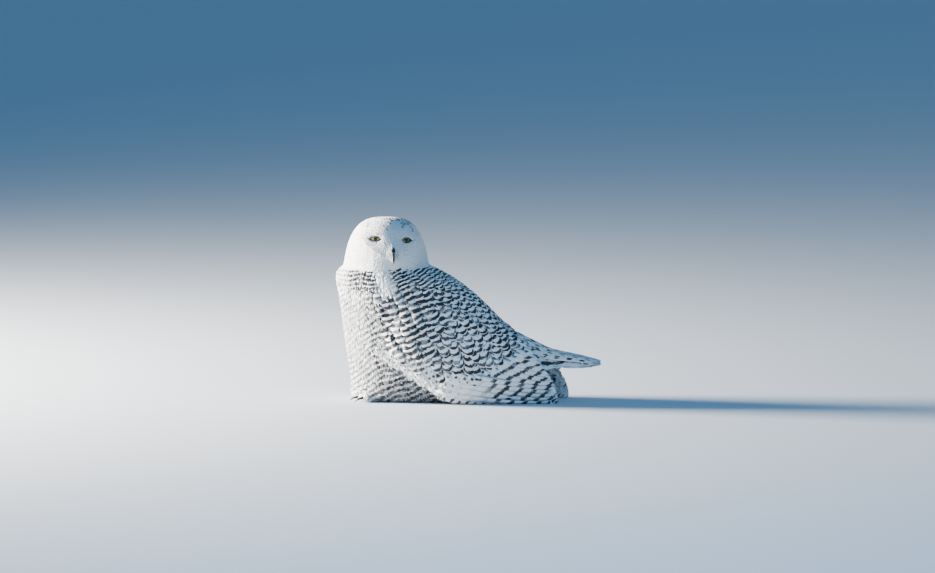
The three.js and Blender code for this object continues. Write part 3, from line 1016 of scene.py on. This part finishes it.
def bill_bristles(count=620):
    """Bristles that grow forwards from both cheeks and close over the sides of the bill.

    The further out one is rooted, the lower it lies; only the bill's ridge stays free."""
    side = np.where(np.arange(count) % 2, 1.0, -1.0)
    out = rng.uniform(0, 1, count) ** 1.3
    height = (304 + 10 * out + rng.uniform(0, 1, count) * (38 - 10 * out)) * MM
    root, _ = nearest(from_head(side * (3.5 + 12.0 * out) * MM, np.full(count, 88 * MM), height))
    low = height - rng.uniform(6, 11, count) * MM
    wide = (1.6 + 12.6 * out) * MM
    tip = from_head(side * wide, polyline(RIDGE, low) + (0.6 - 8.6 * out) * MM, low)
    s = np.linspace(0.0, 1.0, 5)[None, :, None]
    shaft = (root - FACEWARD * MM)[:, None] * (1 - s) + tip[:, None] * s
    shaft = shaft + (1.8 * (1 - 0.7 * out) * MM)[:, None, None] * FACEWARD * np.sin(np.pi * s)
    normals = unit(FACEWARD + 0.7 * side[:, None, None] * HEAD_LEFT)
    cell = on_map(0.5 + 0.4 * side * (0.1 + 0.9 * out), (height - 0.29) / 0.06)
    vanes("bill_bristles", shaft, np.broadcast_to(normals, shaft.shape), 0.9 * MM,
          cell, white(count), droop=0.2, **TUFT_LOOKS)


bill_bristles()

# %% [markdown]
# ## Down
#
# The tips of many body feathers are loose. Fine wisps among the breast, belly
# and flank feathers break their scale-like edges. They are rooted on the skin's
# own points, which are evenly spread.


# %% Wisps of down
def wisps(name, side, count=2500):
    """Wisps over the softer parts of one half of the bird: the front, and below the wing."""
    x, y, z = (body_points / MM).T
    low = (z < 0.62 * (110 - x)) & (z < above_flight(body_points[:, 0]) / MM - 12)
    soft = (z > 3) & (z < 226) & ((x < -150 + 0.1 * (280 - z)) | low)
    soft &= (y * side > 0) & (np.abs(y) < 96) & (throat(body_points) < 0.2)
    chosen = rng.choice(len(body_points), count, p=soft / soft.sum())
    place, normal = body_points[chosen], body_normals[chosen]
    heading = on_plane(lie(place), normal)
    heading = turned(heading, normal, rng.normal(0, 0.3, count))
    length = rng.uniform(11, 19, count) * MM
    shaft, normals = lay(place, heading, length, 0.5 * MM, rng.uniform(0.8, 2.2, count) * MM, 4)
    turn = np.arctan2(place[:, 1], -place[:, 0] - 60 * MM)
    cell = on_map(turn / (2 * np.pi) + 0.5, place[:, 2] / 0.3)
    half = rng.uniform(0.7, 1.1, count) * MM
    # The wisps take the lower marks, with their painted shade at the collar and on the flank.
    vanes(name, shaft, normals, half, cell, lower_marks(place, shaft[:, -1]),
          outline=tuft_outline, ring=4, thickness=0.15 * MM, droop=0.2)


on_both_sides(wisps, "wisps")

# %% [markdown]
# ## Bare parts
#
# The eyes are half closed. Each is a ball with a dark pupil, a yellow iris and a
# glossy, bulging front, held by two dark lids: bent shells that follow the ball
# and meet in its corners. Bill and claws are horns of the same outline as the
# solids, with more rings.


# %% Lofted horns
def loft(name, rings, material, slot):
    """A closed skin over rings (m, k, 3); the first and last ring are shut with fans.

    The faces are turned over if they enclose a negative volume, so that they look outwards."""
    m, k, _ = rings.shape
    walls = ring_walls(m, k)
    ring = np.arange(k)
    last = (m - 1) * k
    first_fan = np.stack([np.full(k, m * k), ring, (ring + 1) % k], -1)
    last_fan = np.stack([np.full(k, m * k + 1), last + (ring + 1) % k, last + ring], -1)
    points = np.vstack([rings.reshape(-1, 3), rings[0].mean(0), rings[-1].mean(0)])
    faces = np.vstack([walls[:, :3], walls[:, [0, 2, 3]], first_fan, last_fan])
    a, b, c = np.moveaxis(points[faces], 1, 0)
    if (a * np.cross(b, c)).sum() < 0:
        faces = faces[:, ::-1]
    return mesh_object(name, points, faces, material, slot)


def bill_rings(root, tip, half_width, rows=22, sides=20):
    """Rings of one half of the bill, which leaves the face forwards and hooks down."""
    t = np.linspace(0.0, 1.0, rows)[:, None]
    angle = around(sides)[None]
    swing = 0.5 * np.pi * t
    radius = half_width * (1 - 0.88 * t**1.3)
    forwards = root[0] + (tip[0] - root[0] + radius * np.cos(angle)) * np.sin(swing)
    height = root[1] + (tip[1] - root[1]) * (1 - np.cos(swing))
    height = height + radius * np.cos(angle) * np.cos(swing)
    return from_head(radius * np.sin(angle), forwards, height)


horn, _, _ = principled("horn", (0.012, 0.011, 0.013), 0.28)
upper_bill = loft("upper_bill", bill_rings(BILL_ROOT, BILL_TIP, BILL_HALF_WIDTH), horn, "bill")
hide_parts("bill_upper")
lower_bill = loft(
    "lower_bill",
    bill_rings(
        BILL_ROOT - MM * np.array([4, 16]),
        BILL_TIP - MM * np.array([4.5, -3]),
        0.75 * BILL_HALF_WIDTH,
    ),
    horn, "bill",
)
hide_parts("bill_lower")


# %% Claws
def claw_rings(side, number, rows=14, sides=12):
    """Rings of a claw that leaves the toe and bends down to the ground."""
    angle_ahead = TOE_ANGLES[number]
    ahead = np.array([-np.cos(angle_ahead), side * np.sin(angle_ahead), 0.0])
    root = np.array([FOOT_CENTRE[0], side * FOOT_CENTRE[1], 0.8 * TOE_RADIUS])
    tip = root + ahead * TOE_LENGTHS[number]
    beside = np.cross(UP, ahead)
    t = np.linspace(0.0, 1.0, rows)[:, None, None]
    angle = around(sides)[None, :, None]
    bow = CLAW_LENGTH / CLAW_BEND
    radius = CLAW_RADIUS * (1 - 0.85 * t)
    rise = 1 * MM - 0.6 * bow * (1 - np.cos(CLAW_BEND * t)) + radius * np.sin(angle)
    rings = tip + ahead * (bow * np.sin(CLAW_BEND * t) - 6 * MM) + beside * radius * np.cos(angle)
    rings = rings + rise * UP
    rings[..., 2] = np.maximum(rings[..., 2], 0.1 * MM)
    return rings


for side_name, side in SIDES.items():
    for number in range(4):
        rings = claw_rings(side, number)
        claw = loft(f"claw_{side_name}_{number + 1}_horn", rings, horn, "claw")
        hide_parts(f"claw_{side_name}_{number + 1}")


# %% Eyes
def eye_material():
    """Pupil, yellow iris and dark rim by the angle from the gaze, stored as gaze.x = cosine."""
    gloss = {"Coat Weight": 0.4, "Coat Roughness": 0.03, "Specular IOR Level": 0.3}
    material, tree, shader = principled("eye", (0.5, 0.3, 0.02), 0.06, **gloss)
    maths = maths_in(tree)
    cosine, _, _ = read(tree, "gaze")
    ramp = node(tree, "ValToRGB", maths("DIVIDE", maths("ARCCOSINE", cosine), np.pi / 2))
    pupil, rim = (0.004, 0.004, 0.004), (0.02, 0.018, 0.018)
    stops = [(0.15, pupil), (0.175, (0.3, 0.2, 0.02)), (0.55, (0.5, 0.38, 0.04)),
             (0.64, (0.01, 0.01, 0.01))]
    elements = ramp.color_ramp.elements
    elements[0].color, elements[1].color = (*pupil, 1), (*rim, 1)
    for position, colour in stops:
        elements.new(position).color = (*colour, 1)
    tree.links.new(ramp.outputs[0], shader.inputs["Base Color"])
    return material


eye_surface = eye_material()


def eyeball(side_name, side, rows=30, sides=40):
    """The ball, with a cornea that bulges a little out of it."""
    beside, look = eye_axes(side)
    polar = np.linspace(0.02, np.pi - 0.02, rows)[:, None, None]
    angle = around(sides)[None, :, None]
    radius = EYE_RADIUS * (1 + 0.035 * np.exp(-((polar / 0.75) ** 4)))
    outwards = np.cos(angle) * beside + np.sin(angle) * UP
    rings = eye_centre(side) + radius * (np.cos(polar) * look + np.sin(polar) * outwards)
    made = loft(f"eyeball_{side_name}", rings, eye_surface, "iris")
    cosines = np.concatenate([np.repeat(np.cos(polar.ravel()), sides), [1.0, -1.0]])
    point_values(made, "gaze", np.stack([cosines, cosines * 0, cosines * 0], -1))
    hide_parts(f"eye_{side_name}")


lid_skin, _, _ = principled("lid", (0.05, 0.045, 0.045), 0.6)
LID_SWING, LID_REACH = np.radians(76), np.radians(70)


def lid(name, side, sign, edge_height, columns=28):
    """One lid: a bent shell from its rim at the opening to far behind the feathers.

    The rim's height follows a cosine across the eye, so both lids meet in its corners."""
    beside, look = eye_axes(side)
    swing = np.linspace(-LID_SWING, LID_SWING, columns)[:, None]
    rim = np.radians(edge_height) * np.cos(0.5 * np.pi * swing / LID_SWING) ** 1.2
    share = np.array([0.0, 0.0, 0.06, 0.2, 0.5, 1.0, 1.0, 0.5, 0.2, 0.06])[None]
    shell = np.array([0.2, 1.0, 1.5, 1.3, 1.1, 1.0, 0.3, 0.2, 0.2, 0.2])[None] * MM
    lift = (rim + (LID_REACH - rim) * share)[..., None]
    radius = (EYE_RADIUS * 1.02 + shell)[..., None]
    swing = swing[..., None]
    level = np.sin(swing) * beside + np.cos(swing) * look
    direction = np.cos(lift) * level + sign * np.sin(lift) * UP
    loft(name, eye_centre(side) + radius * direction, lid_skin, "bill")


for side_name, side in SIDES.items():
    eyeball(side_name, side)
    lid(f"upper_lid_{side_name}", side, 1.0, 9)
    lid(f"lower_lid_{side_name}", side, -1.0, 14)

# %% [markdown]
# ## Feet
#
# A snowy owl's legs and toes are feathered to the claws. Small tufts lie along
# each toe, rooted on the skin's own points, which are evenly spread.


# %% Tufts on legs and toes
def foot_tufts(name, side):
    """Tufts on the part of the skin near one foot."""
    off = (body_points[:, :2] - [FOOT_CENTRE[0], side * FOOT_CENTRE[1]]) / MM
    z = body_points[:, 2] / MM
    near = (np.linalg.norm(off, axis=-1) < 60) & (off[:, 0] < -18) & (z < 24) & (z > 1)
    place, normal = body_points[near], body_normals[near]
    n = len(place)
    heading = on_plane(np.column_stack([unit(off[near]), np.full(n, -0.25)]), normal)
    length = rng.uniform(7, 11, n) * MM
    shaft, normals = lay(place, heading, length, 1.0 * MM, rng.uniform(0.3, 1.0, n) * MM, 5)
    grid = int(np.ceil(np.sqrt(n)))
    row, column = np.divmod(np.arange(n), grid)
    cell = on_map((column + 0.5) / grid, (row + 0.5) / grid)
    vanes(name, shaft, normals, 0.24 * length, cell, white(n), ring=4, slot="white_plumage")


on_both_sides(foot_tufts, "foot_tufts")

# %% [markdown]
# ## Skin depth and markings
#
# The body surface has done its work as the ground that the feathers were
# settled on. Now it sinks by the depth of the coat and becomes the skin.

# %% Sinking the skin
HEAD_COAT, BODY_COAT = 2.2 * MM, 2.6 * MM
depth = np.where(body_points[:, 2] > 282 * MM, HEAD_COAT, BODY_COAT)
sunk = body_points - body_normals * depth[:, None]
sunk[:, 2] = np.maximum(sunk[:, 2], 0.0)
skin.data.vertices.foreach_set("co", flat(sunk))
skin.data.update()
skin.data.materials.clear()
skin.data.materials.append(plumage)
skin.data.shade_smooth()
is_upper = (body_points[:, 0] > -150 * MM) & (body_points[:, 2] > 60 * MM)
# The lower marks bring their painted shade at the collar and on the flank to the skin too.
upper, lower = upper_marks(sunk, sunk), lower_marks(sunk, sunk)
skin_marks = {key: np.where(is_upper[:, None], upper[key], lower[key]) for key in upper}
skin_marks["mark"][:, 1] = run_up(sunk) / skin_marks["mark"][:, 0]
skin_marks["ink"][(sunk[:, 2] > HEAD_FOOT) | (sunk[:, 2] < 30 * MM), 0] = 0.0
for side in SIDES.values():
    _, _, bare = eye_opening(side, sunk)
    skin_marks["mark"][bare, 1] = 0.5
    skin_marks["ink"][bare] = (1.0, 0.9, 0.0)
point_values(skin, "vane", np.tile([0.0, 1.0, 0.0], (len(sunk), 1)))
for key, value in skin_marks.items():
    point_values(skin, key, value)
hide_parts(*FLESH)

# %% [markdown]
# ## Studio
#
# A pale floor and a blue sky, warm light from the bird's front and cool fill
# from its side, and a long lens nearly square to its left side.

# %% Floor, light and camera
floor_material, _, _ = principled("floor", (0.58, 0.62, 0.68), 0.9)
mesh = bpy.data.meshes.new("floor")
mesh.from_pydata([(-30, -30, 0), (30, -30, 0), (30, 60, 0), (-30, 60, 0)], [], [(0, 1, 2, 3)])
mesh.materials.append(floor_material)
floor = bpy.data.objects.new("floor", mesh)
bpy.context.scene.collection.objects.link(floor)

world = bpy.data.worlds.new("studio")
world.use_nodes = True
sky = world.node_tree.nodes["Background"].inputs
sky["Color"].default_value = (0.22, 0.56, 1.0, 1.0)
sky["Strength"].default_value = 0.43
bpy.context.scene.world = world


def area_light(name, place, size, power, colour):
    """A square lamp that faces the bird."""
    data = bpy.data.lights.new(name, "AREA")
    data.size, data.energy, data.color = size, power, colour
    lamp = bpy.data.objects.new(name, data)
    lamp.location = place
    towards = Vector((0.0, 0.0, 0.2)) - Vector(place)
    lamp.rotation_euler = towards.to_track_quat("-Z", "Y").to_euler()
    bpy.context.scene.collection.objects.link(lamp)


area_light("key", (-3.4, 0.4, 0.8), 1.0, 1400, (1.0, 0.94, 0.84))
area_light("fill", (0.6, -3.5, 2.2), 2.5, 60, (0.25, 0.6, 1.0))

AZIMUTH, ELEVATION, DISTANCE = np.radians(4), np.radians(5), 17.0
AIM_RIGHT, AIM_UP, FRAME_WIDTH = 36.75 * MM, 238.35 * MM, 1.9635
right = np.array([np.cos(AZIMUTH), np.sin(AZIMUTH), 0.0])
level = np.array([-np.sin(AZIMUTH), np.cos(AZIMUTH), 0.0])
ahead = level * np.cos(ELEVATION) - UP * np.sin(ELEVATION)
aim = right * AIM_RIGHT + np.cross(right, ahead) * AIM_UP
lens = bpy.data.cameras.new("camera")
lens.lens = lens.sensor_width * DISTANCE / FRAME_WIDTH
camera = bpy.data.objects.new("camera", lens)
camera.location = aim - ahead * DISTANCE
camera.rotation_euler = (np.pi / 2 - ELEVATION, 0.0, AZIMUTH)
bpy.context.scene.collection.objects.link(camera)
bpy.context.scene.camera = camera
